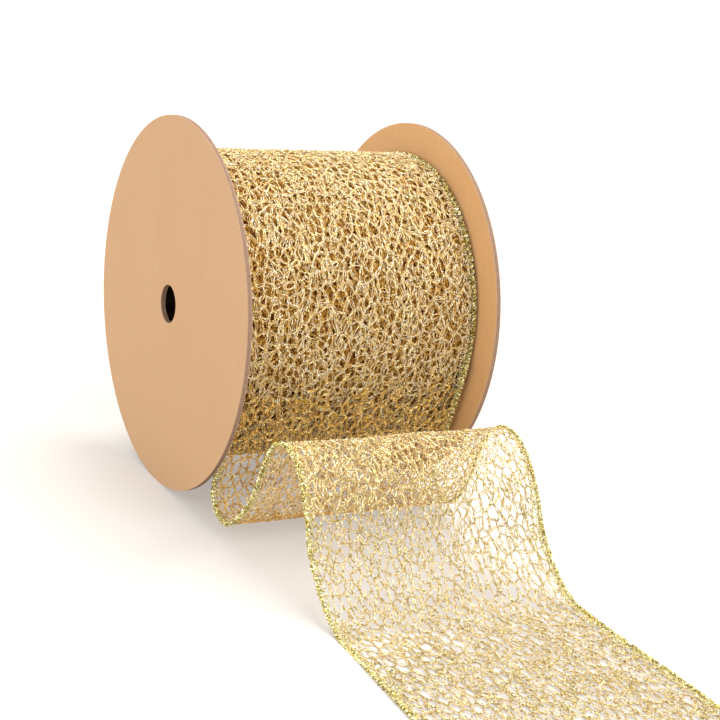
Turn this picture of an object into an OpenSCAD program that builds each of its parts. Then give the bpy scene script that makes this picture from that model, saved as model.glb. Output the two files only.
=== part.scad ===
// Ribbon spool: two laminated board flanges on a wrapped paper core, wound with openwork ribbon
// whose free end comes off the front of the roll in a standing loop and runs out over the table.
// The spool's axis is X, the origin is on that axis midway between the flanges, and both flange
// rims and the end of the ribbon rest on the plane z = -flange_d / 2. The ribbon leaves towards -Y.

/* [Flanges] */
// Diameter of each flange
flange_d = 93; // [90:1:150]
// Thickness of the grey board inside each flange
board_t = 0.8; // [0.5:0.1:3]
// Thickness of each kraft paper facing
liner_t = 0.2; // [0.1:0.05:0.6]
// Diameter of the spindle hole through both flanges
spindle_d = 9.6; // [5:0.1:28]

/* [Core] */
// Outside diameter of the core tube with its kraft wrap
core_d = 40; // [36:1:60]
// Thickness of the core tube's board wall
core_wall = 1.2; // [0.8:0.1:2]
// Thickness of the kraft wrap round the core tube
wrap_t = 0.3; // [0.15:0.05:0.6]
// Leg of the glue fillet where each flange meets the core
glue_leg = 1.6; // [0.6:0.1:2]

/* [Ribbon] */
// Width of the ribbon over both stitched edges
ribbon_w = 63.5; // [40:0.5:120]
// Width of each stitched edge
edge_w = 1.1; // [0.8:0.1:2.5]
// Thickness of the openwork net
net_t = 0.6; // [0.3:0.1:1.2]
// Thickness of the stitched edges
edge_t = 0.9; // [0.7:0.1:1.5]
// Side of the square channel that the edge wire fills
wire_s = 0.4; // [0.2:0.05:0.5]
// Diameter over the wound ribbon's stitched edges
wound_d = 77.8; // [64:0.2:86]
// Gap between each ribbon edge and the flange beside it
side_gap = 1.05; // [0.3:0.05:4]

/* [Starting tape] */
// Width of the tape that fixes the ribbon's inner end to the core
tape_w = 19; // [8:1:30]
// Thickness of that tape
tape_t = 0.15; // [0.05:0.05:0.4]
// Angle of the core that the tape covers
tape_angle = 70; // [20:5:150]

/* [Loose end] */
// Clearance between the wound ribbon and the start of the loose end
tail_gap = 0.4; // [0.3:0.1:2]
// Angle below the axis at which the loose end leaves the roll
leave_angle = 8; // [0:1:30]
// Distance from the front of the roll back to the loop's rearmost point
loop_back = 8.3; // [5:0.1:14]
// Distance from the loop's rearmost point forward to its lowest point
loop_reach = 7.6; // [5:0.1:12]
// Height of the loop's lowest point above the table
loop_h = 2.6; // [1:0.1:10]
// Distance from the front of the roll to the crest of the hump
crest_reach = 23.5; // [18:0.1:40]
// Height of the hump's crest above the table
crest_h = 31; // [24:0.5:45]
// Distance from the crest to where the ribbon lies down on the table
landing_reach = 36.2; // [30:0.1:70]
// Length of ribbon lying on the table
lying_l = 52; // [20:1:120]
// How far the loose end has drifted to the left, as a share of the gap to the flange
drift = 0.5; // [0:0.1:0.7]

/* [Hidden] */

round_fn = 180;
flange_r = flange_d / 2;
wound_r = wound_d / 2;
core_r = core_d / 2;
tube_r = core_r - wrap_t;
bore_r = tube_r - core_wall;

// Places across the width, measured from the middle of the spool
net_x = ribbon_w / 2 - edge_w;
ribbon_x = ribbon_w / 2;
inner_x = ribbon_x + side_gap;
board_x = inner_x + liner_t;
outer_liner_x = board_x + board_t;
tail_x = -drift * side_gap;

// The net sits a little lower than the stitched edges, on the roll as on the loose end
net_drop = (edge_t - net_t) / 2;

kraft = [0.90, 0.72, 0.55];
grey_board = [0.59, 0.53, 0.47];
net_gold = [0.82, 0.69, 0.40];
edge_gold = [0.70, 0.60, 0.28];
glue_amber = [0.90, 0.82, 0.60];
tape_clear = [0.86, 0.84, 0.78];
steel = [0.66, 0.66, 0.68];

// ---- Centre line of the loose end, as [y, z] points ----

// Each knot is [point, direction in degrees, how hard the curve pulls along that direction].
// 180 points away from the roll, and 270 points down.
table_z = -flange_r;
roll_front_y = -wound_r;
leave_r = wound_r + tail_gap + edge_t / 2;
back_y = roll_front_y + loop_back;
low_z = table_z + loop_h + edge_t / 2;
low_y = back_y - loop_reach;
back_z = low_z + 0.67 * loop_reach;
crest_y = roll_front_y - crest_reach;
crest_z = table_z + crest_h;
rise_y = (low_y + crest_y) / 2;
rise_z = (low_z + crest_z) / 2;
rise_h = crest_z - low_z;
lying_z = table_z + edge_t / 2;
landing_y = crest_y - landing_reach;
fall_y = crest_y - 0.43 * landing_reach;
fall_z = lying_z + 0.525 * (crest_z - lying_z);
fall_l = norm([landing_y - fall_y, lying_z - fall_z]);
end_y = landing_y - lying_l;

knots = [
    [[-leave_r * cos(leave_angle), -leave_r * sin(leave_angle)], 270 + leave_angle,
        -leave_r * sin(leave_angle) - back_z],
    [[back_y, back_z], 270, 1.1 * loop_reach],
    [[low_y, low_z], 180, 1.55 * loop_reach],
    [[rise_y, rise_z], 111, 0.78 * rise_h],
    [[crest_y, crest_z], 180, 0.77 * rise_h],
    [[fall_y, fall_z], 251, 0.62 * rise_h],
    [[landing_y, lying_z], 180, 1.1 * fall_l],
    [[end_y, lying_z], 180, lying_l]
];
steps_per_span = 14;

function heading(knot) = knot[2] * [cos(knot[1]), sin(knot[1])];

function along(a, b, t) =
    (2 * t ^ 3 - 3 * t ^ 2 + 1) * a[0] + (t ^ 3 - 2 * t ^ 2 + t) * heading(a)
    + (3 * t ^ 2 - 2 * t ^ 3) * b[0] + (t ^ 3 - t ^ 2) * heading(b);

// The last span lies straight on the table and needs no points between its ends
centre_line = [
    for (i = [0:len(knots) - 3], s = [0:steps_per_span - 1])
        along(knots[i], knots[i + 1], s / steps_per_span),
    knots[len(knots) - 2][0],
    knots[len(knots) - 1][0]
];

function unit(v) = v / norm(v);
function tangent(points, i) =
    unit(points[min(i + 1, len(points) - 1)] - points[max(i - 1, 0)]);
function beside(points, i, d) =
    points[i] + d * [-tangent(points, i)[1], tangent(points, i)[0]];

// Closed outline of a strip of the given thickness that follows the centre line
function strip(points, thickness) = concat(
    [for (i = [0:len(points) - 1]) beside(points, i, thickness / 2)],
    [for (i = [len(points) - 1:-1:0]) beside(points, i, -thickness / 2)]
);

// ---- Shared shapes ----

// Turns a shape made along +Z so that it lies along +X, starting at x
module along_x(x) {
    translate([x, 0, 0]) rotate([90, 0, 90]) children();
}

module ring(outer_r, inner_r, x, length) {
    along_x(x) difference() {
        cylinder(r = outer_r, h = length, $fn = round_fn);
        translate([0, 0, -1]) cylinder(r = inner_r, h = length + 2, $fn = round_fn);
    }
}

module flange_ply(x, thickness) {
    ring(flange_r, spindle_d / 2, x, thickness);
}

module tail_strip(x, width, thickness) {
    along_x(x) linear_extrude(width) polygon(strip(centre_line, thickness));
}

// Fillet of glue inside the end of the core, against the flange; side is -1 or 1
module glue_fillet(side) {
    color(glue_amber) rotate([0, side * 90, 0]) rotate_extrude($fn = round_fn)
        polygon([[bore_r - glue_leg, inner_x], [bore_r, inner_x - glue_leg], [bore_r, inner_x]]);
}

// ---- Flanges ----

module left_outer_liner() { color(kraft) flange_ply(-outer_liner_x - liner_t, liner_t); }
module left_board() { color(grey_board) flange_ply(-outer_liner_x, board_t); }
module left_inner_liner() { color(kraft) flange_ply(-board_x, liner_t); }
module right_inner_liner() { color(kraft) flange_ply(inner_x, liner_t); }
module right_board() { color(grey_board) flange_ply(board_x, board_t); }
module right_outer_liner() { color(kraft) flange_ply(outer_liner_x, liner_t); }

// ---- Core ----

module core_tube() { color(grey_board) ring(tube_r, bore_r, -inner_x, 2 * inner_x); }
module core_wrap() { color(kraft) ring(core_r, tube_r, -inner_x, 2 * inner_x); }
module left_glue_fillet() { glue_fillet(-1); }
module right_glue_fillet() { glue_fillet(1); }

// Band of tape on the core, and the same space left free under the ribbon
module tape_band() {
    along_x(-tape_w / 2) rotate_extrude(angle = tape_angle, $fn = round_fn)
        translate([core_r, 0]) square([tape_t, tape_w]);
}

module start_tape() { color(tape_clear) tape_band(); }

// ---- Wound ribbon ----

module wound_net() {
    color(net_gold) difference() {
        ring(wound_r - net_drop, core_r, -net_x, 2 * net_x);
        tape_band();
    }
}

module wound_edge(x) { color(edge_gold) ring(wound_r, core_r, x, edge_w); }
module wound_left_edge() { wound_edge(-ribbon_x); }
module wound_right_edge() { wound_edge(net_x); }

// ---- Loose end ----

module tail_net() { color(net_gold) tail_strip(tail_x - net_x, 2 * net_x, net_t); }

// The channel that the wire fills runs the whole length of the stitched edge
module tail_edge(x) {
    color(edge_gold) difference() {
        tail_strip(x, edge_w, edge_t);
        tail_strip(x + (edge_w - wire_s) / 2, wire_s, wire_s);
    }
}

module tail_wire(x) { color(steel) tail_strip(x + (edge_w - wire_s) / 2, wire_s, wire_s); }

module tail_left_edge() { tail_edge(tail_x - ribbon_x); }
module tail_right_edge() { tail_edge(tail_x + net_x); }
module tail_left_wire() { tail_wire(tail_x - ribbon_x); }
module tail_right_wire() { tail_wire(tail_x + net_x); }

left_outer_liner();
left_board();
left_inner_liner();
right_inner_liner();
right_board();
right_outer_liner();
core_tube();
core_wrap();
left_glue_fillet();
right_glue_fillet();
start_tape();
wound_net();
wound_left_edge();
wound_right_edge();
tail_net();
tail_left_edge();
tail_right_edge();
tail_left_wire();
tail_right_wire();
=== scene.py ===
"""Looks for the ribbon spool: kraft and grey board materials on the CAD flanges and core, and the
openwork ribbon as real yarn. Every yarn is a faceted tube, laid along the edges of a net of
lens-shaped cells, wound round the roll in two layers over a painted drum, and carried along the
loose end's own curve."""

import math
from typing import NamedTuple

import bpy
import numpy as np
from mathutils import Matrix, Vector
from mathutils.geometry import delaunay_2d_cdt


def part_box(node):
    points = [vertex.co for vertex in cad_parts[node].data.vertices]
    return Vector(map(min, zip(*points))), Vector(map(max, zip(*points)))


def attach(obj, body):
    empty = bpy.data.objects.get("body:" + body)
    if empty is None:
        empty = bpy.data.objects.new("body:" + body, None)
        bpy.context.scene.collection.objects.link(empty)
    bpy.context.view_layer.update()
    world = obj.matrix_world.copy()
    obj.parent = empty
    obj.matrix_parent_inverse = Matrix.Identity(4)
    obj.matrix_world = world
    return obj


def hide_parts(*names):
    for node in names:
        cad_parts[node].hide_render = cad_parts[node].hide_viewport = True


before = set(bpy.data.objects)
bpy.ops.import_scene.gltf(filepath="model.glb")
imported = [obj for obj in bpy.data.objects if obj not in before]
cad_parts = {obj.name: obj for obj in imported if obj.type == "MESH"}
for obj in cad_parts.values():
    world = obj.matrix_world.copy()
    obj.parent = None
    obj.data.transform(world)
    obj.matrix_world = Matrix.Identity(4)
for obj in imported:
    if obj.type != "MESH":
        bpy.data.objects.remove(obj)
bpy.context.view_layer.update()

MM = 0.001
X, Y, Z = 0, 1, 2


# ---------------------------------------------------------------------------------------------
# Sizes, in millimetres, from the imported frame
# ---------------------------------------------------------------------------------------------

def low(node, axis):
    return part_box(node)[0][axis] / MM


def high(node, axis):
    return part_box(node)[1][axis] / MM


table_z = low("left_board", Z)
core_r = high("core_wrap", Y)
wound_r = high("wound_left_edge", Y)
ribbon_x = high("wound_right_edge", X)
net_x = low("wound_right_edge", X)
edge_w = ribbon_x - net_x
yarn_x = net_x - 0.05
tail_x = (low("tail_net", X) + high("tail_net", X)) / 2
tail_end_y = low("tail_net", Y)

# The thickness of the stitched edges and of the wire in them, and the loose end's curve: the same
# values and knots as the CAD model's
edge_t = 0.9
wire_d = 0.4
tail_gap = 0.4
leave_angle = 8
loop_back, loop_reach, loop_h = 8.3, 7.6, 2.6
crest_reach, crest_h = 23.5, 31
landing_reach = 36.2


def loose_end_knots():
    """[point, heading in degrees, pull] from the roll to the cut end."""
    leave_r = wound_r + tail_gap + edge_t / 2
    leave = math.radians(leave_angle)
    back_y = -wound_r + loop_back
    low_z = table_z + loop_h + edge_t / 2
    low_y = back_y - loop_reach
    back_z = low_z + 0.67 * loop_reach
    crest_y, crest_z = -wound_r - crest_reach, table_z + crest_h
    rise_h = crest_z - low_z
    lying_z = table_z + edge_t / 2
    landing_y = crest_y - landing_reach
    fall_y = crest_y - 0.43 * landing_reach
    fall_z = lying_z + 0.525 * (crest_z - lying_z)
    fall_l = math.hypot(landing_y - fall_y, lying_z - fall_z)
    start = (-leave_r * math.cos(leave), -leave_r * math.sin(leave))
    return [
        (start, 270 + leave_angle, start[1] - back_z),
        ((back_y, back_z), 270, 1.1 * loop_reach),
        ((low_y, low_z), 180, 1.55 * loop_reach),
        (((low_y + crest_y) / 2, (low_z + crest_z) / 2), 111, 0.78 * rise_h),
        ((crest_y, crest_z), 180, 0.77 * rise_h),
        ((fall_y, fall_z), 251, 0.62 * rise_h),
        ((landing_y, lying_z), 180, 1.1 * fall_l),
        ((tail_end_y, lying_z), 180, landing_y - tail_end_y),
    ]


def heading_vector(degrees, pull):
    turn = math.radians(degrees)
    return pull * np.array([math.cos(turn), math.sin(turn)])


class Curve:
    """A plane curve in Y and Z, read by the distance along it. Before its start it runs back round
    the roll."""

    def __init__(self, knots):
        spans = []
        steps_per_span = 60
        t = np.linspace(0, 1, steps_per_span, endpoint=False)[:, None]
        for (start, start_turn, start_pull), (end, end_turn, end_pull) in zip(knots, knots[1:]):
            spans.append(
                (2 * t**3 - 3 * t**2 + 1) * np.array(start)
                + (t**3 - 2 * t**2 + t) * heading_vector(start_turn, start_pull)
                + (3 * t**2 - 2 * t**3) * np.array(end)
                + (t**3 - t**2) * heading_vector(end_turn, end_pull)
            )
        spans.append(np.array([knots[-1][0]]))
        self.points = np.concatenate(spans)
        steps = np.hypot(*np.diff(self.points, axis=0).T)
        self.s = np.concatenate([[0], np.cumsum(steps)])
        self.length = float(self.s[-1])
        headings = np.diff(self.points, axis=0)
        headings = np.concatenate([headings, headings[-1:]])
        self.angle = np.unwrap(np.arctan2(headings[:, 1], headings[:, 0]))
        self.start_r = float(np.hypot(*self.points[0]))
        self.start_angle = math.atan2(self.points[0, 1], self.points[0, 0])

    def at(self, s):
        """Y, Z and heading at each distance s."""
        s = np.asarray(s, float)
        y = np.interp(s, self.s, self.points[:, 0])
        z = np.interp(s, self.s, self.points[:, 1])
        heading = np.interp(s, self.s, self.angle)
        on_roll = self.start_angle + np.minimum(s, 0) / self.start_r
        before = s < 0
        y = np.where(before, self.start_r * np.cos(on_roll), y)
        z = np.where(before, self.start_r * np.sin(on_roll), z)
        heading = np.where(before, on_roll + math.pi / 2, heading)
        return y, z, heading


loose_end = Curve(loose_end_knots())


# ---------------------------------------------------------------------------------------------
# Where a flat ribbon goes: across u, along s and height h, to a place in the frame, all in
# millimetres
# ---------------------------------------------------------------------------------------------

def bump(value, centre, reach):
    """1 at centre, falling smoothly to 0 at reach away from it."""
    return np.clip(1 - ((value - centre) / reach) ** 2, 0, 1) ** 2


def smooth_step(value):
    """0 up to value 0, 1 from value 1 on, and smooth between them."""
    share = np.clip(value, 0, 1)
    return share * share * (3 - 2 * share)


# Distances along the loose end: where its net starts to draw in, on the fall towards the table,
# and where it has its full width again
hang_s = 38
fall_s = 0.62 * loose_end.length
settled_s = 0.9 * loose_end.length

# The share of its width by which the hanging net draws in, and how far its surface departs from
# the CAD solid's at most, by its skew and by being uneven
draw_in = 0.055
skew_h = 1.4
uneven_h = 0.35

# The least height of a yarn's middle above the table, and the furthest back round the roll that
# the loose end's yarns may start
yarn_lift = 0.16
yarn_start_s = -9


def on_loose_end(u, s, h):
    """The free ribbon. Its open net draws in by a few percent where it hangs, over the hump and down
    to the table. It is a little skewed as it falls from the crest, and slightly uneven."""
    hangs = smooth_step((s - hang_s) / 30) * smooth_step((settled_s - s) / 45)
    u = u * (1 - draw_in * hangs)
    skew = -skew_h * (u / ribbon_x) * bump(s, fall_s, 38)
    uneven = uneven_h * np.sin(s / 7.3 + u / 9) * np.sin(u / 11 + 1) * bump(s, fall_s - 18, 55)
    y, z, heading = loose_end.at(s)
    lift = h + skew + uneven
    over_table = np.maximum(z + lift * np.cos(heading), table_z + yarn_lift)
    return np.stack([tail_x + u, y - lift * np.sin(heading), over_table], -1)


def on_roll(radius):
    """One turn of wound ribbon at this radius. s runs from 0 to the circumference."""

    def place(u, s, h):
        angle = s / radius
        r = radius + h
        return np.stack([u, r * np.cos(angle), r * np.sin(angle)], -1)

    return place


# ---------------------------------------------------------------------------------------------
# The net: lens-shaped cells, as the edges between them
# ---------------------------------------------------------------------------------------------

def cell_centres(width, length, cell_w, cell_l, rng):
    """Uneven rows of points, in cells. Some are left out for big holes, some doubled for small."""
    stray, left_out, doubled, apart = 0.3, 0.16, 0.3, 0.45
    columns = int(round(width / cell_w)) + 4
    rows = int(round(length / cell_l))
    i, j = np.meshgrid(np.arange(columns), np.arange(rows), indexing="ij")
    across = (i + 0.5 * (j % 2)).ravel() + rng.normal(0, stray, i.size) - 2
    along = j.ravel() + rng.normal(0, stray, i.size)
    points = np.stack([across - width / cell_w / 2, along * length / cell_l / rows], -1)
    kept = points[rng.random(len(points)) > left_out]
    extra = points[rng.random(len(points)) < doubled]
    return np.concatenate([kept, extra + rng.normal(0, apart, extra.shape)])


def circle_centres(a, b, c):
    """The centre of the circle through the corners a, b and c of each triangle."""
    (ax, ay), (bx, by), (cx, cy) = a.T, b.T, c.T
    least = 1e-9
    scale = 2 * (ax * (by - cy) + bx * (cy - ay) + cx * (ay - by))
    scale = np.where(np.abs(scale) < least, least, scale)
    aa, bb, cc = ((p**2).sum(1) for p in (a, b, c))
    x = (aa * (by - cy) + bb * (cy - ay) + cc * (ay - by)) / scale
    y = (aa * (cx - bx) + bb * (ax - cx) + cc * (bx - ax)) / scale
    return x, y


def neighbours(faces):
    """The triangles on either side of each shared side."""
    sides = np.sort(np.concatenate([faces[:, [0, 1]], faces[:, [1, 2]], faces[:, [2, 0]]]), axis=1)
    owner = np.tile(np.arange(len(faces)), 3)
    order = np.lexsort((sides[:, 1], sides[:, 0]))
    sides, owner = sides[order], owner[order]
    pair = (sides[1:] == sides[:-1]).all(1).nonzero()[0]
    return owner[pair], owner[pair + 1]


def net_edges(width, length, cell_w, cell_l, rng, closed):
    """Both ends of every edge between cells, as arrays of (u, s) in millimetres. The net is width
    across, from 0 to length along, and meets itself there if closed."""
    points = cell_centres(width, length, cell_w, cell_l, rng)
    period = length / cell_l
    points[:, 1] %= period
    margin = 4
    if closed:
        after = points[points[:, 1] < margin] + [0, period]
        before = points[points[:, 1] > period - margin] - [0, period]
        points = np.concatenate([points, after, before])
    found = delaunay_2d_cdt([Vector(p) for p in points], [], [], 0, 1e-6)
    where = np.array([tuple(v) for v in found[0]])
    faces = np.array([face for face in found[2] if len(face) == 3])
    # A cell's corners are the circle centres of the triangles round it
    corner_u, corner_s = circle_centres(*(where[faces[:, k]] for k in range(3)))
    corner = np.stack([corner_u * cell_w, corner_s * cell_l], -1)
    one, other = neighbours(faces)
    start, end = corner[one], corner[other]
    middle = (start[:, 1] + end[:, 1]) / 2
    short_enough = np.hypot(*(end - start).T) < 4 * cell_l
    kept = short_enough & (middle >= 0) & (middle < length)
    if not closed:
        first = np.minimum(start[:, 1], end[:, 1])
        last = np.maximum(start[:, 1], end[:, 1])
        kept &= (first >= 0) & (last <= length)
    return clipped(start[kept], end[kept], width / 2)


def clipped(start, end, half):
    """The edges that lie within half of the middle, cut off where they cross it."""
    inside = (np.abs(start[:, 0]) <= half) | (np.abs(end[:, 0]) <= half)
    start, end = start[inside].copy(), end[inside].copy()
    for side in (-half, half):
        for here, there in ((start, end), (end, start)):
            over = (here[:, 0] - side) * np.sign(side) > 0
            share = (side - there[over, 0]) / (here[over, 0] - there[over, 0])
            here[over] = there[over] + share[:, None] * (here[over] - there[over])
    return start, end


# ---------------------------------------------------------------------------------------------
# Yarn: faceted tubes through many polylines at once
# ---------------------------------------------------------------------------------------------

class Mesh:
    """Collects vertices, and faces of three or four corners with their map, for one object."""

    def __init__(self):
        self.vertices, self.count = [], 0
        self.faces, self.maps = {3: [], 4: []}, {3: [], 4: []}

    def add(self, vertices, *parts):
        """Each part is (faces, map places of their corners)."""
        for faces, corners in parts:
            self.faces[faces.shape[1]].append(faces + self.count)
            self.maps[faces.shape[1]].append(corners.reshape(-1, 2))
        self.vertices.append(vertices)
        self.count += len(vertices)

    def make(self, name, material, body, slot, flat=False):
        vertices = np.concatenate(self.vertices) * MM
        groups = [np.concatenate(f) for f in self.faces.values() if f]
        sizes = np.concatenate([np.full(len(g), g.shape[1]) for g in groups])
        corners = np.concatenate([g.ravel() for g in groups])
        places = np.concatenate([m for maps in self.maps.values() for m in maps])
        data = bpy.data.meshes.new(name)
        data.vertices.add(len(vertices))
        data.vertices.foreach_set("co", vertices.astype(np.float32).ravel())
        data.loops.add(len(corners))
        data.loops.foreach_set("vertex_index", corners.astype(np.int32))
        data.polygons.add(len(sizes))
        data.polygons.foreach_set("loop_start", (np.cumsum(sizes) - sizes).astype(np.int32))
        layer = data.uv_layers.new(name=YARN_MAP)
        layer.uv.foreach_set("vector", places.astype(np.float32).ravel())
        data.update(calc_edges=True)
        data.validate()
        if flat:
            data.shade_flat()
        data.materials.append(material)
        piece = bpy.data.objects.new(name, data)
        bpy.context.scene.collection.objects.link(piece)
        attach(piece, body)
        return piece


# The map that yarn materials read: along the yarn across the map, round it up the map
YARN_MAP = "OFBake"
MAP_PER_MM = 0.035
MAP_ROUND = 0.012
# Its bands from the bottom up, one for each shade of yarn: its own colour, a duller and darker
# one, and painted shade for the loose end where it hangs in the shadow under the roll
FRESH, DULL, PAINTED_SHADE = 0, 1, 2
BAND = 1 / 3


def tube_rings(lines, radius, rng, sides, twist):
    """The vertices of each tube: one ring, turned by a random amount, at each point of its line."""
    n, k, _ = lines.shape
    ahead = np.gradient(lines, axis=1)
    ahead /= np.maximum(np.linalg.norm(ahead, axis=2, keepdims=True), 1e-9)
    up = np.where(np.abs(ahead[..., :1]) < 0.8, [1.0, 0, 0], [0, 0, 1.0])
    side = np.cross(ahead, up)
    side /= np.maximum(np.linalg.norm(side, axis=2, keepdims=True), 1e-9)
    top = np.cross(side, ahead)
    turn = np.cumsum(rng.uniform(-twist, twist, (n, k)), axis=1) + rng.uniform(0, 6, (n, 1))
    angle = turn[:, :, None] + np.arange(sides) * 2 * math.pi / sides
    return lines[:, :, None] + radius[:, :, None, None] * (
        np.cos(angle)[..., None] * side[:, :, None] + np.sin(angle)[..., None] * top[:, :, None]
    )


def add_tubes(mesh, lines, radius, rng, sides=3, twist=1.2, shade=FRESH):
    """One closed tube round each line. lines is (n, k, 3) and radius (n, k). Each ring is turned
    by a random amount, up to twist, so that the facets catch the light one by one. shade is the
    band of the map that each tube lies in."""
    n, k, _ = lines.shape
    rings = tube_rings(lines, radius, rng, sides, twist)
    first = (np.arange(n) * k * sides)[:, None, None]
    ring = (np.arange(k - 1) * sides)[None, :, None]
    one = np.arange(sides)
    two = (one + 1) % sides
    corners = [ring + one, ring + two, ring + sides + two, ring + sides + one]
    walls = np.stack([first + c for c in corners], -1).reshape(-1, 4)
    # Each yarn's place on the map: a random row, and along it as far as there is room
    run = np.linalg.norm(np.diff(lines, axis=1), axis=2)
    along = np.concatenate([np.zeros((n, 1)), np.cumsum(run, axis=1)], axis=1) * MAP_PER_MM
    along += rng.uniform(0, 1, (n, 1)) * np.maximum(1 - along[:, -1:], 0)
    along = np.clip(along, 0, 1)
    band = BAND * np.reshape(shade, (-1, 1, 1))
    base = rng.uniform(0, BAND - MAP_ROUND * (sides + 1), (n, 1, 1)) + band
    lower = np.broadcast_to(base + MAP_ROUND * one, (n, k - 1, sides))
    left = np.broadcast_to(along[:, :-1, None], lower.shape)
    right = np.broadcast_to(along[:, 1:, None], lower.shape)
    upper = lower + MAP_ROUND
    places = [(left, lower), (left, upper), (right, upper), (right, lower)]
    parts = [(walls, np.stack([np.stack(p, -1) for p in places], 3))]
    round_end = 2 * math.pi * one / sides
    patch = (np.stack([np.cos(round_end), np.sin(round_end)], -1) + 1) * MAP_ROUND
    for cap, at in ((one[::-1], along[:, 0]), (one + (k - 1) * sides, along[:, -1])):
        spot = np.stack([np.minimum(at, 1 - 2 * MAP_ROUND), base[:, 0, 0]], -1)[:, None] + patch
        parts.append((first[:, 0] + cap, spot))
    mesh.add(rings.reshape(-1, 3), *parts)


def smooth_noise(rng, n, k, size):
    """n random curves of k points that start and end near nothing."""
    fade = np.sin(np.linspace(0, math.pi, k)) ** 0.7
    return rng.normal(0, size, (n, k)) * fade


def strands(start, end, rng, k, spread, bow, depth):
    """Wavy lines of k points along each edge, in (u, s, h). spread is the size of their waves, bow
    how far they bend aside as a share of their length, and depth how far they bend up or down."""
    t = np.linspace(0, 1, k)[None, :, None]
    flat = start[:, None] * (1 - t) + end[:, None] * t
    run = end - start
    reach = np.maximum(np.hypot(*run.T), 1e-6)[:, None]
    beside = np.stack([-run[:, 1], run[:, 0]], -1) / reach
    arch = np.sin(np.linspace(0, math.pi, k))
    n = len(start)
    wave = smooth_noise(rng, n, k, spread) + rng.normal(0, bow, (n, 1)) * arch * reach
    flat = flat + beside[:, None] * wave[:, :, None]
    height = rng.normal(0, depth, (n, 1)) * arch + smooth_noise(rng, n, k, depth * 0.6)
    return np.concatenate([flat, height[..., None]], -1)


def rope_share(u, s, ropes):
    """How near each place is to one of the thick lengthwise lines of the net, from 0 to 1."""
    near = np.zeros(np.shape(u))
    for middle, phase, sway in ropes:
        line = middle + sway * np.sin(s / 6.1 + phase) + 0.6 * sway * np.sin(s / 2.7 + 2 * phase)
        near = np.maximum(near, np.exp(-(((u - line) / 0.8) ** 2)))
    return near


def make_ropes(rng, spacing):
    middles = np.arange(-net_x + spacing / 2, net_x, spacing)
    return [(m + rng.normal(0, 0.5), rng.uniform(0, 6), rng.uniform(0.4, 1.0)) for m in middles]


class Weave(NamedTuple):
    """How a layer of net is made: the size of its cells, how many threads and foils run along
    each edge of a cell, how thick they are and how far their ends stray, and the share of edges
    that carry a curl of loose foil."""

    cell_w: float
    cell_l: float
    thread_yarns: float
    foil_yarns: float
    yarn_r: float
    stray: float
    fuzz: float


def add_net(thread, foil, place, length, weave, rng, closed=False, start_fade=0, face=1, shade_at=None):
    """A layer of net, put in place by the function place(u, s, h). Its matt thread goes into the
    mesh thread, and its glittering foil, which lies on the face side, into the mesh foil."""
    rope_step, short_edge, long_yarn, depth = 3.6, 0.7, 2.2, 0.08
    start, end = net_edges(2 * net_x, length, weave.cell_w, weave.cell_l, rng, closed)
    if start_fade:
        middle = (start[:, 1] + end[:, 1]) / 2
        kept = rng.random(len(start)) < np.clip(middle / start_fade, 0, 1)
        start, end = start[kept], end[kept]
    middle = (start + end) / 2
    rope = rope_share(middle[:, 0], middle[:, 1], make_ropes(rng, rope_step))
    few_on_short = np.where(np.hypot(*(end - start).T) < short_edge, 0.6, 1.0)
    for mesh, yarns, mean_r, level, spread, bow, uneven in (
        (thread, weave.thread_yarns, weave.yarn_r * 1.05, -0.08, 0.05, 0.13, 0.12),
        (foil, weave.foil_yarns, weave.yarn_r, 0.1, 0.09, 0.1, 0.35),
    ):
        wanted = yarns * (0.75 + 0.55 * rope) * few_on_short
        copies = (wanted + rng.random(len(start))).astype(int)
        one, two = (np.repeat(ends, copies, 0) for ends in (start, end))
        one = one + rng.normal(0, weave.stray, one.shape)
        two = two + rng.normal(0, weave.stray, two.shape)
        for ends in (one, two):
            ends[:, 0] = np.clip(ends[:, 0], -yarn_x, yarn_x)
            if not closed:
                ends[:, 1] = np.clip(ends[:, 1], yarn_start_s, length)
        long_ones = np.hypot(*(two - one).T) > long_yarn
        for part, points in ((long_ones, 6), (~long_ones, 4)):
            lines = strands(one[part], two[part], rng, points, spread, bow, depth)
            radius = mean_r * rng.uniform(1 - uneven, 1 + uneven, lines.shape[:2])
            world = place(lines[..., 0], lines[..., 1], face * (level + lines[..., 2]))
            shade = shade_at(one[part, 1], rng) if shade_at else FRESH
            add_tubes(mesh, world, radius, rng, shade=shade)
    add_fuzz(foil, place, start, end, rng, face, weave.fuzz, shade_at)


def loose_end_shade(s, rng):
    """The shade of yarns at s along the loose end: fresh at the start, then darker and more orange
    where it hangs against the roll, as painted shade for the shadow under the roll, fresh over the
    hump, then duller and darker where it falls and lies. The changes are gradual."""
    painted_shade_from, painted_shade_to, dull_from = -4, 54, 75
    share = rng.random(len(s))
    # Painted shade, darker and more orange, where the loose end hangs against the roll
    deep = np.minimum((s - painted_shade_from) / 14, (painted_shade_to - s) / 12)
    dull = (s - dull_from) / 25
    return np.where(dull > share, DULL, np.where(deep > share, PAINTED_SHADE, FRESH))


def add_fuzz(mesh, place, start, end, rng, face, share, shade_at):
    """Short curls of foil that stand off the yarns, for this share of the edges."""
    curl_r = 0.075
    chosen = rng.random(len(start)) < share
    start, end = start[chosen], end[chosen]
    t = rng.uniform(0, 1, (len(start), 1))
    root = start + t * (end - start)
    angle = rng.uniform(0, 2 * math.pi, len(root))
    reach = rng.uniform(0.5, 1.3, len(root))[:, None]
    tip = root + reach * np.stack([np.cos(angle), np.sin(angle)], -1)
    for ends in (root, tip):
        ends[:, 0] = np.clip(ends[:, 0], -yarn_x, yarn_x)
    lines = strands(root, tip, rng, 4, 0.06, 0.3, 0.12)
    radius = curl_r * rng.uniform(0.7, 1.2, lines.shape[:2])
    s = np.maximum(lines[..., 1], yarn_start_s)
    world = place(lines[..., 0], s, face * (0.1 + lines[..., 2]))
    shade = shade_at(root[:, 1], rng) if shade_at else FRESH
    add_tubes(mesh, world, radius, rng, shade=shade)


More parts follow.
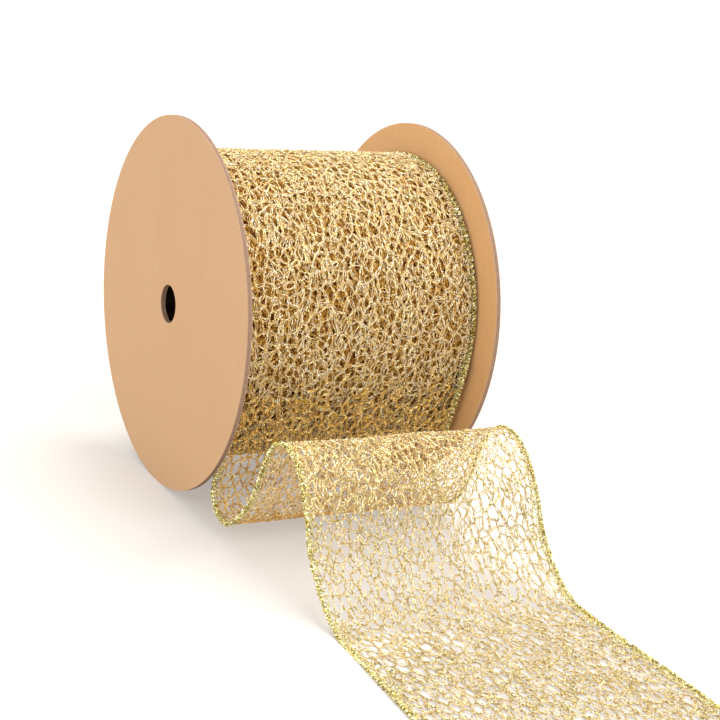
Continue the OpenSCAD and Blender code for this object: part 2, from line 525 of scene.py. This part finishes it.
def add_stitches(mesh, place, length, rng, sides=(-1, 1), face=1, pitch=0.45, inner=1.6):
    """The overlock stitches that run from the edges into the net, on the sides given."""
    steps = int(length / pitch)
    at = (np.arange(steps) + rng.uniform(-0.3, 0.3, steps)) * pitch
    for side in sides:
        start = np.stack([np.full(steps, side * yarn_x), at], -1)
        reach = rng.uniform(0.5, 1.0, steps) * inner
        end = np.stack([side * (net_x - reach), at + rng.uniform(-0.9, 0.9, steps)], -1)
        lines = strands(start, end, rng, 5, 0.06, 0.15, 0.08)
        radius = 0.1 * rng.uniform(0.7, 1.3, lines.shape[:2])
        world = place(lines[..., 0], np.clip(lines[..., 1], 0, length), face * (0.05 + lines[..., 2]))
        add_tubes(mesh, world, radius, rng)


def add_cord(mesh, path, cord_r, yarn_r, pitch, rng):
    """Yarns wound round a path, as overlocked edges are. path(s, across, up) gives places for
    distances s and offsets from the cord's middle; the cord runs from 0 to path.length."""
    starts, per_turn, piece = 3, 7, 14
    for i in range(starts):
        steps = int(path.length / pitch * per_turn)
        s = np.linspace(0, path.length, steps)
        first_angle = i * 2 * math.pi / starts
        angle = s / pitch * 2 * math.pi + first_angle + np.cumsum(rng.normal(0, 0.12, steps))
        loose = np.clip(0.86 + rng.normal(0, 0.16, steps), 0.4, 1.05)
        world = path(s, cord_r * loose * np.cos(angle), 0.8 * cord_r * loose * np.sin(angle))
        # Lengths of the yarn are separate lines, so that each can take its own place on the map
        first = np.arange(0, steps - piece - 1, piece)
        lines = world[first[:, None] + np.arange(piece + 1)]
        radius = yarn_r * rng.uniform(0.65, 1.35, lines.shape[:2])
        add_tubes(mesh, lines, radius, rng, twist=0.8)
        left = world[first[-1] + piece:]
        add_tubes(mesh, left[None], np.full((1, len(left)), yarn_r), rng, twist=0.8)


# ---------------------------------------------------------------------------------------------
# Materials
# ---------------------------------------------------------------------------------------------

class Nodes:
    """Short calls for building one material's node tree."""

    def __init__(self, name, **constants):
        self.material = bpy.data.materials.new(name)
        self.material.use_nodes = True
        self.tree = self.material.node_tree
        self.shader = self.tree.nodes["Principled BSDF"]
        for socket, value in constants.items():
            self.shader.inputs[socket.replace("_", " ")].default_value = value

    def add(self, kind, inputs=None, **properties):
        node = self.tree.nodes.new("ShaderNode" + kind)
        for key, value in properties.items():
            setattr(node, key, value)
        for key, value in (inputs or {}).items():
            if isinstance(value, bpy.types.NodeSocket):
                self.tree.links.new(value, node.inputs[key])
            else:
                node.inputs[key].default_value = value
        return node

    def link(self, value, socket):
        self.tree.links.new(value, self.shader.inputs[socket])

    def noise(self, vector, scale, detail=3.0, roughness=0.5):
        return self.add("TexNoise", {"Vector": vector, "Scale": scale, "Detail": detail,
                                     "Roughness": roughness}).outputs["Fac"]

    def stretched(self, vector, x, y, z):
        return self.add("Mapping", {"Vector": vector, "Scale": (x, y, z)}).outputs["Vector"]

    def ramp(self, value, stops):
        node = self.add("ValToRGB", {"Fac": value})
        elements = node.color_ramp.elements
        while len(elements) < len(stops):
            elements.new(0.5)
        for element, (at, colour) in zip(elements, stops):
            element.position = at
            element.color = (*colour, 1)
        return node.outputs["Color"]

    def between(self, value, low_value, high_value, low_out, high_out):
        return self.add("MapRange", {"Value": value, "From Min": low_value, "From Max": high_value,
                                     "To Min": low_out, "To Max": high_out}).outputs["Result"]

    def maths(self, operation, a, b):
        return self.add("Math", {0: a, 1: b}, operation=operation).outputs[0]

    def mixed(self, share, a, b):
        node = self.add("Mix", data_type="RGBA", blend_type="MIX")
        for socket, value in (("Factor", share), ("A", a), ("B", b)):
            target = [s for s in node.inputs if s.name == socket and s.enabled][0]
            if isinstance(value, bpy.types.NodeSocket):
                self.tree.links.new(value, target)
            else:
                target.default_value = value if socket == "Factor" else (*value, 1)
        return [s for s in node.outputs if s.enabled][0]

    def bumped(self, height, strength, distance):
        node = self.add("Bump", {"Height": height, "Strength": strength, "Distance": distance})
        self.link(node.outputs["Normal"], "Normal")


def by_band(m, place, value, palettes):
    """The colour for value from the palette of the map's band at place."""
    height = m.add("SeparateXYZ", {"Vector": place}).outputs["Y"]
    colour = m.ramp(value, palettes[0])
    blur = 0.004
    for band, stops in enumerate(palettes[1:], 1):
        edge = band * BAND
        above = m.between(height, edge - blur, edge + blur, 0.0, 1.0)
        colour = m.mixed(above, colour, m.ramp(value, stops))
    return colour


def foil_material(name, *palettes, metallic=0.75, rough=(0.5, 0.16)):
    """Crinkled foil yarn: flecks, each with its own shade and shine, as it twists in the light."""
    m = Nodes(name, Metallic=metallic, Specular_Tint=(1.0, 0.8, 0.45, 1))
    place = m.add("UVMap", uv_map=YARN_MAP).outputs["UV"]
    flecks = m.add("TexVoronoi", {"Vector": m.stretched(place, 95, 74, 1), "Scale": 1.0},
                   voronoi_dimensions="2D")
    pick = m.add("SeparateColor", {"Color": flecks.outputs["Color"]})
    m.link(by_band(m, place, pick.outputs["Red"], palettes), "Base Color")
    m.link(m.between(pick.outputs["Green"], 0.0, 1.0, *rough), "Roughness")
    m.bumped(flecks.outputs["Distance"], 0.8, 0.0002)
    return m.material


def bed_material(name, dark, light):
    """Packed turns deep in the roll, painted as net: pale walls round dark holes, in two layers. The
    near-black holes and the walls, darker than the top turn's yarns, are painted shade for the depth of the
    roll.
    """
    m = Nodes(name, Specular_IOR_Level=0.1)
    place = m.add("UVMap", uv_map=YARN_MAP).outputs["UV"]
    walls = None
    for across, around in ((36, 82), (52, 118)):
        cells = m.add("TexVoronoi", {"Vector": m.stretched(place, around, across, 1), "Scale": 1.0},
                      voronoi_dimensions="2D", feature="DISTANCE_TO_EDGE")
        wall = m.between(cells.outputs["Distance"], 0.02, 0.2, 1.0, 0.0)
        walls = wall if walls is None else m.maths("MAXIMUM", walls, m.maths("MULTIPLY", wall, 0.6))
    fibres = m.noise(m.stretched(place, 900, 420, 1), 1.0, 2.0)
    tone = m.maths("MULTIPLY", walls, m.between(fibres, 0.3, 0.7, 0.5, 1.1))
    m.link(m.ramp(tone, [(0.0, dark), (0.9, light)]), "Base Color")
    m.link(m.between(fibres, 0.3, 0.7, 0.5, 0.75), "Roughness")
    m.bumped(tone, 0.8, 0.0004)
    return m.material


def thread_material(name, *palettes):
    """Spun matt thread: a soft mottle with the slant of its plies."""
    m = Nodes(name, Specular_IOR_Level=0.2)
    place = m.add("UVMap", uv_map=YARN_MAP).outputs["UV"]
    mottle = m.noise(m.stretched(place, 40, 40, 1), 1.0, 2.0)
    plies = m.noise(m.stretched(place, 150, 60, 1), 1.0, 1.0)
    tone = m.maths("ADD", m.maths("MULTIPLY", mottle, 0.6), m.maths("MULTIPLY", plies, 0.4))
    m.link(by_band(m, place, tone, palettes), "Base Color")
    m.link(m.between(plies, 0.3, 0.7, 0.45, 0.65), "Roughness")
    m.bumped(plies, 0.5, 0.0001)
    return m.material


def kraft_material(name, light, dark, cut):
    """Smooth brown paper: clouded pulp, faint upright grain, a few dark fibres and a cut edge."""
    m = Nodes(name, Specular_IOR_Level=0.35)
    coordinates = m.add("TexCoord")
    place = coordinates.outputs["Object"]
    clouds = m.noise(place, 45, 4.0)
    grain = m.noise(m.stretched(place, 1, 1, 0.06), 1500, 2.0)
    pulp = m.noise(place, 2600, 3.0)
    tone = m.maths("ADD", m.maths("MULTIPLY", clouds, 0.35),
                   m.maths("ADD", m.maths("MULTIPLY", grain, 0.35), m.maths("MULTIPLY", pulp, 0.3)))
    fibres = m.noise(m.stretched(place, 1, 1, 0.6), 1100, 1.0)
    specks = m.between(fibres, 0.75, 0.79, 0.0, 0.4)
    face = m.mixed(specks, m.ramp(tone, [(0.35, dark), (0.65, light)]), tuple(0.5 * c for c in dark))
    facing = m.add("SeparateXYZ", {"Vector": coordinates.outputs["Normal"]}).outputs["X"]
    flat = m.between(m.maths("ABSOLUTE", facing, 0.0), 0.4, 0.6, 0.0, 1.0)
    m.link(m.mixed(flat, cut, face), "Base Color")
    m.link(m.between(pulp, 0.3, 0.7, 0.62, 0.8), "Roughness")
    m.bumped(m.maths("ADD", m.maths("MULTIPLY", pulp, 0.6), m.maths("MULTIPLY", grain, 0.4)), 0.25, 0.00008)
    return m.material


def board_material(name, light, dark):
    """Cut chipboard: pressed layers of grey-brown fibre, seen on the rims."""
    m = Nodes(name, Specular_IOR_Level=0.2)
    place = m.add("TexCoord").outputs["Object"]
    layers = m.noise(m.stretched(place, 7, 1, 1), 900, 3.0)
    fibre = m.noise(place, 1800, 4.0, 0.65)
    tone = m.maths("ADD", m.maths("MULTIPLY", layers, 0.5), m.maths("MULTIPLY", fibre, 0.5))
    m.link(m.ramp(tone, [(0.34, dark), (0.66, light)]), "Base Color")
    m.link(m.between(fibre, 0.3, 0.7, 0.8, 0.95), "Roughness")
    m.bumped(tone, 0.7, 0.0002)
    return m.material


def plain_material(name, colour, shade, roughness, scale, **constants):
    """Small hidden parts: one tone with a cloudy variation in colour and finish."""
    m = Nodes(name, **constants)
    place = m.add("TexCoord").outputs["Object"]
    clouds = m.noise(place, scale, 3.0)
    m.link(m.ramp(clouds, [(0.3, shade), (0.7, colour)]), "Base Color")
    m.link(m.between(clouds, 0.3, 0.7, roughness - 0.08, roughness + 0.08), "Roughness")
    m.bumped(clouds, 0.3, 0.0001)
    return m.material


def paint(node, material):
    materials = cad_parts[node].data.materials
    materials.clear()
    materials.append(material)


# Colours of the yarns, each at its place on the scale from the darkest fleck to the brightest
FRESH_FOIL = [
    (0.0, (0.20, 0.09, 0.004)), (0.18, (0.60, 0.34, 0.045)), (0.38, (0.98, 0.70, 0.24)),
    (0.52, (0.88, 0.78, 0.31)), (0.66, (1.0, 0.93, 0.60)), (0.85, (1.0, 0.99, 0.92)),
]
# Duller and darker foil for the part of the loose end that falls and lies
DULL_FOIL = [
    (0.0, (0.10, 0.065, 0.005)), (0.25, (0.40, 0.28, 0.06)), (0.45, (0.74, 0.54, 0.19)),
    (0.6, (0.68, 0.60, 0.23)), (0.78, (0.98, 0.86, 0.50)), (0.95, (1.0, 0.98, 0.88)),
]
# Painted shade: darker, more orange foil for the loose end where it hangs in the shadow under the roll
PAINTED_SHADE_FOIL = [
    (0.0, (0.10, 0.035, 0.001)), (0.2, (0.46, 0.23, 0.014)), (0.45, (0.96, 0.60, 0.10)),
    (0.7, (1.0, 0.74, 0.22)), (0.9, (1.0, 0.95, 0.66)),
]
SHADED_FOIL = [
    (0.0, (0.16, 0.07, 0.002)), (0.25, (0.50, 0.28, 0.03)), (0.6, (0.88, 0.58, 0.14)),
    (0.95, (1.0, 0.92, 0.58)),
]
GREENISH_FOIL = [
    (0.0, (0.09, 0.06, 0.003)), (0.22, (0.38, 0.30, 0.045)), (0.48, (0.76, 0.66, 0.21)),
    (0.74, (0.98, 0.92, 0.50)), (0.94, (1.0, 1.0, 0.85)),
]
# The thread's bands, as the foil's: own colour, duller and darker, then painted shade where the loose end
# hangs under the roll
FRESH_THREAD = [(0.36, (0.80, 0.47, 0.15)), (0.62, (1.0, 0.82, 0.48))]
DULL_THREAD = [(0.36, (0.50, 0.30, 0.11)), (0.62, (0.82, 0.59, 0.31))]
PAINTED_SHADE_THREAD = [(0.36, (0.50, 0.24, 0.03)), (0.62, (0.98, 0.60, 0.18))]
SHADED_THREAD = [(0.36, (0.56, 0.25, 0.03)), (0.62, (0.90, 0.52, 0.12))]

# The third band of the foil and of the thread is painted shade, used on the loose end under the roll
FOIL = foil_material("gold_foil_yarn", FRESH_FOIL, DULL_FOIL, PAINTED_SHADE_FOIL)
MID_FOIL = foil_material("mid_gold_foil_yarn", SHADED_FOIL)
EDGE_FOIL = foil_material("stitched_edge_yarn", GREENISH_FOIL, metallic=0.85)
THREAD = thread_material("beige_thread", FRESH_THREAD, DULL_THREAD, PAINTED_SHADE_THREAD)
MID_THREAD = thread_material("mid_beige_thread", SHADED_THREAD)
# Painted shade: near-black holes and dark walls for the turns deep in the roll
BED = bed_material("packed_net_painted_shade", (0.08, 0.022, 0.001), (0.55, 0.27, 0.045))

CUT_PAPER = (0.30, 0.19, 0.12)
KRAFT = kraft_material("kraft_paper", (0.53, 0.322, 0.172), (0.50, 0.296, 0.154), CUT_PAPER)
# Painted bounce light: the inner liners' kraft is lighter and more orange than the outer kraft, for the
# gold light the roll throws on them
KRAFT_INSIDE_PAINTED_BOUNCE = kraft_material("kraft_paper_inside_painted_bounce", (0.65, 0.38, 0.172), (0.60, 0.335, 0.142), CUT_PAPER)
BOARD = board_material("grey_board", (0.30, 0.19, 0.125), (0.16, 0.095, 0.06))
GLUE = plain_material("hot_melt_glue", (0.78, 0.58, 0.30), (0.68, 0.48, 0.22), 0.35, 300,
                      Subsurface_Weight=0.2)
TAPE = plain_material("clear_tape", (0.72, 0.66, 0.52), (0.66, 0.60, 0.46), 0.4, 200)
WIRE = plain_material("edge_wire", (0.62, 0.50, 0.20), (0.45, 0.34, 0.10), 0.35, 900, Metallic=0.9)

for side in ("left", "right"):
    paint(f"{side}_outer_liner", KRAFT)
    paint(f"{side}_inner_liner", KRAFT_INSIDE_PAINTED_BOUNCE)
    paint(f"{side}_board", BOARD)
    paint(f"{side}_glue_fillet", GLUE)
paint("core_tube", BOARD)
paint("core_wrap", KRAFT)
paint("start_tape", TAPE)


# ---------------------------------------------------------------------------------------------
# The wound ribbon
# ---------------------------------------------------------------------------------------------

def wound_bed(radius):
    """The turns below the ones that are seen: a closed drum of packed net, rough as netting is."""
    around, across = 540, 110
    angle = np.linspace(0, 2 * math.pi, around, endpoint=False)
    xs = np.linspace(-net_x, net_x, across)
    rng = np.random.default_rng(5)
    rough = np.zeros((around, across))
    for waves, size in ((31, 0.05), (67, 0.05), (113, 0.06)):
        phase = rng.uniform(0, 6, 4)
        rough += size * np.sin(waves * angle[:, None] + 2 * np.sin(xs * waves / 40 + phase[0])) * np.sin(
            xs * waves / 19 + phase[1] + 1.5 * np.sin(5 * angle[:, None] + phase[2]))
    # Across the drum go an inner rim, the rough outside and the other inner rim
    inner_r = core_r + 0.3
    r = np.pad(radius + rough, ((0, 0), (1, 1)), constant_values=inner_r)
    x = np.broadcast_to(np.pad(xs, 1, mode="edge"), r.shape)
    grid = np.stack([x, r * np.cos(angle)[:, None], r * np.sin(angle)[:, None]], -1)
    n = grid.shape[1]
    i = np.arange(around)[:, None]
    j = np.arange(n)[None, :]
    ahead, over = (i + 1) % around, (j + 1) % n
    faces = np.stack([i * n + j, i * n + over, ahead * n + over, ahead * n + j], -1).reshape(-1, 4)
    place = np.stack(np.broadcast_arrays(i / around, j / n), -1)
    corners = np.stack([place, place + [0, 1 / n], place + [1 / around, 1 / n], place + [1 / around, 0]], 2)
    mesh = Mesh()
    mesh.add(grid.reshape(-1, 3), (faces, corners))
    return mesh


class RollEdge:
    """The path of one wound turn of stitched edge."""

    def __init__(self, x, radius):
        self.x, self.radius, self.length = x, radius, 2 * math.pi * radius

    def __call__(self, s, across, up):
        angle = s / self.radius
        r = self.radius + up
        return np.stack([self.x + across, r * np.cos(angle), r * np.sin(angle)], -1)


class TailEdge:
    """The path of the loose end's stitched edge."""

    def __init__(self, u):
        self.u, self.length = u, loose_end.length

    def __call__(self, s, across, up):
        return on_loose_end(self.u + across, s, up)


class Layer(NamedTuple):
    """One turn of the wound ribbon, with the materials of its thread and its foil."""

    name: str
    radius: float
    thread_paint: bpy.types.Material
    foil_paint: bpy.types.Material
    weave: Weave
    seed: int


# The stitched edges' own radius and their place across the ribbon, then the radius of each layer
edge_r = edge_w / 2 - 0.03
edge_u = ribbon_x - edge_w / 2
top_r = wound_r - 0.4
layer_step = 0.55
bed_r = top_r - 2 * layer_step - 0.15
top_weave = Weave(cell_w=1.8, cell_l=2.9, thread_yarns=1.3, foil_yarns=2.7,
                  yarn_r=0.088, stray=0.25, fuzz=1.0)
lower_weave = top_weave._replace(thread_yarns=1.0, foil_yarns=1.4, fuzz=0.0)
top = Layer("top", top_r, THREAD, FOIL, top_weave, seed=11)
lower = Layer("lower", top_r - layer_step, MID_THREAD, MID_FOIL, lower_weave, seed=12)


def make_wound_layer(layer, stitched):
    """The thread and the foil of one turn. stitched adds the stitches that run in from its edges."""
    thread, foil = Mesh(), Mesh()
    rng = np.random.default_rng(layer.seed)
    turn_l = 2 * math.pi * layer.radius
    add_net(thread, foil, on_roll(layer.radius), turn_l, layer.weave, rng, closed=True)
    if stitched:
        add_stitches(foil, on_roll(layer.radius), turn_l, rng)
    return (
        thread.make(f"wound_{layer.name}_thread", layer.thread_paint, "spool", "gold_net"),
        foil.make(f"wound_{layer.name}_foil", layer.foil_paint, "spool", "gold_net", flat=True),
    )


def make_wound_edge(side, sign):
    """The stitched edges of the outer turns on one side. They don't lie quite above each other."""
    turns, turn_step, yarn_r, pitch = 4, 0.8, 0.21, 1.6
    mesh = Mesh()
    rng = np.random.default_rng(20 + sign)
    for turn in range(turns):
        x = sign * (edge_u + rng.uniform(-0.1, 0.5))
        radius = wound_r - 0.45 - turn * turn_step
        add_cord(mesh, RollEdge(x, radius), edge_r, yarn_r, pitch, rng)
    piece = mesh.make(f"wound_{side}_edge_cords", EDGE_FOIL, "spool", "stitched_edge", flat=True)
    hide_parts(f"wound_{side}_edge")
    return piece


top_thread, top_foil = make_wound_layer(top, stitched=True)
lower_thread, lower_foil = make_wound_layer(lower, stitched=False)
bed = wound_bed(bed_r).make("wound_bed", BED, "spool", "gold_net")
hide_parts("wound_net")
wound_edges = [make_wound_edge(side, sign) for side, sign in (("left", -1), ("right", 1))]


# ---------------------------------------------------------------------------------------------
# The loose end
# ---------------------------------------------------------------------------------------------

def make_tail_net():
    """The thread and the foil of the loose end, whose face is on the outside of the loop."""
    weave = Weave(cell_w=1.75, cell_l=3.1, thread_yarns=1.4, foil_yarns=2.7,
                  yarn_r=0.098, stray=0.17, fuzz=1.0)
    thread, foil = Mesh(), Mesh()
    rng = np.random.default_rng(31)
    add_net(thread, foil, on_loose_end, loose_end.length, weave, rng,
            start_fade=14, face=-1, shade_at=loose_end_shade)
    thread_piece = thread.make("tail_net_thread", THREAD, "tail", "gold_net")
    foil_piece = foil.make("tail_net_foil", FOIL, "tail", "gold_net", flat=True)
    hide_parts("tail_net")
    return thread_piece, foil_piece


def make_tail_edge(side, sign, rng):
    """The stitched cord along one edge, with the stitches that run from it into the net."""
    yarn_r, pitch = 0.2, 1.1
    mesh = Mesh()
    add_cord(mesh, TailEdge(sign * edge_u), edge_r, yarn_r, pitch, rng)
    add_stitches(mesh, on_loose_end, loose_end.length, rng, sides=[sign], face=-1, pitch=0.3, inner=1.3)
    piece = mesh.make(f"tail_{side}_edge_cord", EDGE_FOIL, "tail", "stitched_edge", flat=True)
    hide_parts(f"tail_{side}_edge")
    return piece


def make_tail_wire(side, sign, rng):
    """The wire inside one edge."""
    points = 400
    s = np.linspace(0, loose_end.length, points)
    middle = np.zeros_like(s)
    line = TailEdge(sign * edge_u)(s, middle, middle)
    mesh = Mesh()
    add_tubes(mesh, line[None], np.full((1, points), wire_d / 2), rng, sides=4, twist=0)
    piece = mesh.make(f"tail_{side}_round_wire", WIRE, "tail", "edge_wire")
    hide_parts(f"tail_{side}_wire")
    return piece


tail_thread, tail_foil = make_tail_net()
for side, sign in (("left", -1), ("right", 1)):
    rng = np.random.default_rng(40 + sign)
    make_tail_edge(side, sign, rng)
    make_tail_wire(side, sign, rng)


# ---------------------------------------------------------------------------------------------
# The ribbon's cut sizes: the loose end, and one full turn for each layer of the roll that is
# seen. They are worked out here and used for nothing more. The cloth is open.
# ---------------------------------------------------------------------------------------------

def declare_ribbon(length):
    width, length = 2 * ribbon_x * MM, length * MM


top_l = 2 * math.pi * top.radius
lower_l = 2 * math.pi * lower.radius
declare_ribbon(loose_end.length)
declare_ribbon(top_l)
declare_ribbon(lower_l)


# ---------------------------------------------------------------------------------------------
# Table, light and camera
# ---------------------------------------------------------------------------------------------

def make_floor():
    """A wide pale table, slightly luminous so that the shadows on it are as soft as the photo's."""
    reach, gap = 12.0, 0.00005
    mesh = bpy.data.meshes.new("floor")
    z = table_z * MM - gap
    corners = [(-reach, -reach, z), (reach, -reach, z), (reach, reach, z), (-reach, reach, z)]
    mesh.from_pydata(corners, [], [(0, 1, 2, 3)])
    m = Nodes("floor", Specular_IOR_Level=0.2)
    m.shader.inputs["Base Color"].default_value = (0.38, 0.355, 0.33, 1)
    m.shader.inputs["Roughness"].default_value = 0.7
    m.shader.inputs["Emission Color"].default_value = (1, 0.94, 0.88, 1)
    m.shader.inputs["Emission Strength"].default_value = 0.34
    mesh.materials.append(m.material)
    floor = bpy.data.objects.new("floor", mesh)
    bpy.context.scene.collection.objects.link(floor)


def make_sun(name, towards, spread, power):
    """A big soft light far away, which lights the whole table alike. towards points at it."""
    data = bpy.data.lights.new(name, "SUN")
    data.angle = math.radians(spread)
    data.energy = power
    sun = bpy.data.objects.new(name, data)
    sun.rotation_euler = Vector(towards).to_track_quat("Z", "Y").to_euler()
    bpy.context.scene.collection.objects.link(sun)


def make_camera():
    """To the left and a little above, leaning slightly, as the photograph is taken. The spool is
    not in the middle of the picture, so the camera stands aside from its line, and lower."""
    azimuth, elevation, lean = (math.radians(angle) for angle in (30.39, 16.28, 6.49))
    distance, aside, above = 405.14, 18.01, -15.44
    level_out = math.cos(elevation)
    back = Vector((-math.sin(azimuth) * level_out, -math.cos(azimuth) * level_out, math.sin(elevation)))
    level = Vector((0, 0, 1)).cross(back).normalized()
    right = math.cos(lean) * level + math.sin(lean) * back.cross(level)
    up = back.cross(right)
    place = (distance * back + aside * right + above * up) * MM
    data = bpy.data.cameras.new("camera")
    data.sensor_width = 36
    data.lens = 78.15
    data.clip_end = 50
    camera = bpy.data.objects.new("camera", data)
    camera.matrix_world = Matrix.Translation(place) @ Matrix((right, up, back)).transposed().to_4x4()
    bpy.context.scene.collection.objects.link(camera)
    bpy.context.scene.camera = camera


def make_world(strength):
    world = bpy.data.worlds.new("studio")
    world.use_nodes = True
    background = world.node_tree.nodes["Background"]
    background.inputs["Color"].default_value = (1, 1, 1, 1)
    background.inputs["Strength"].default_value = strength
    bpy.context.scene.world = world


make_floor()
make_world(1.05)
make_sun("key", (0.25, 0.25, 0.9), 38, 3.0)
make_sun("front", (0.3, -0.75, 0.6), 55, 2.0)
make_sun("side", (-0.8, -0.3, 0.35), 60, 0.9)
make_camera()
bpy.context.scene.view_settings.view_transform = "Standard"
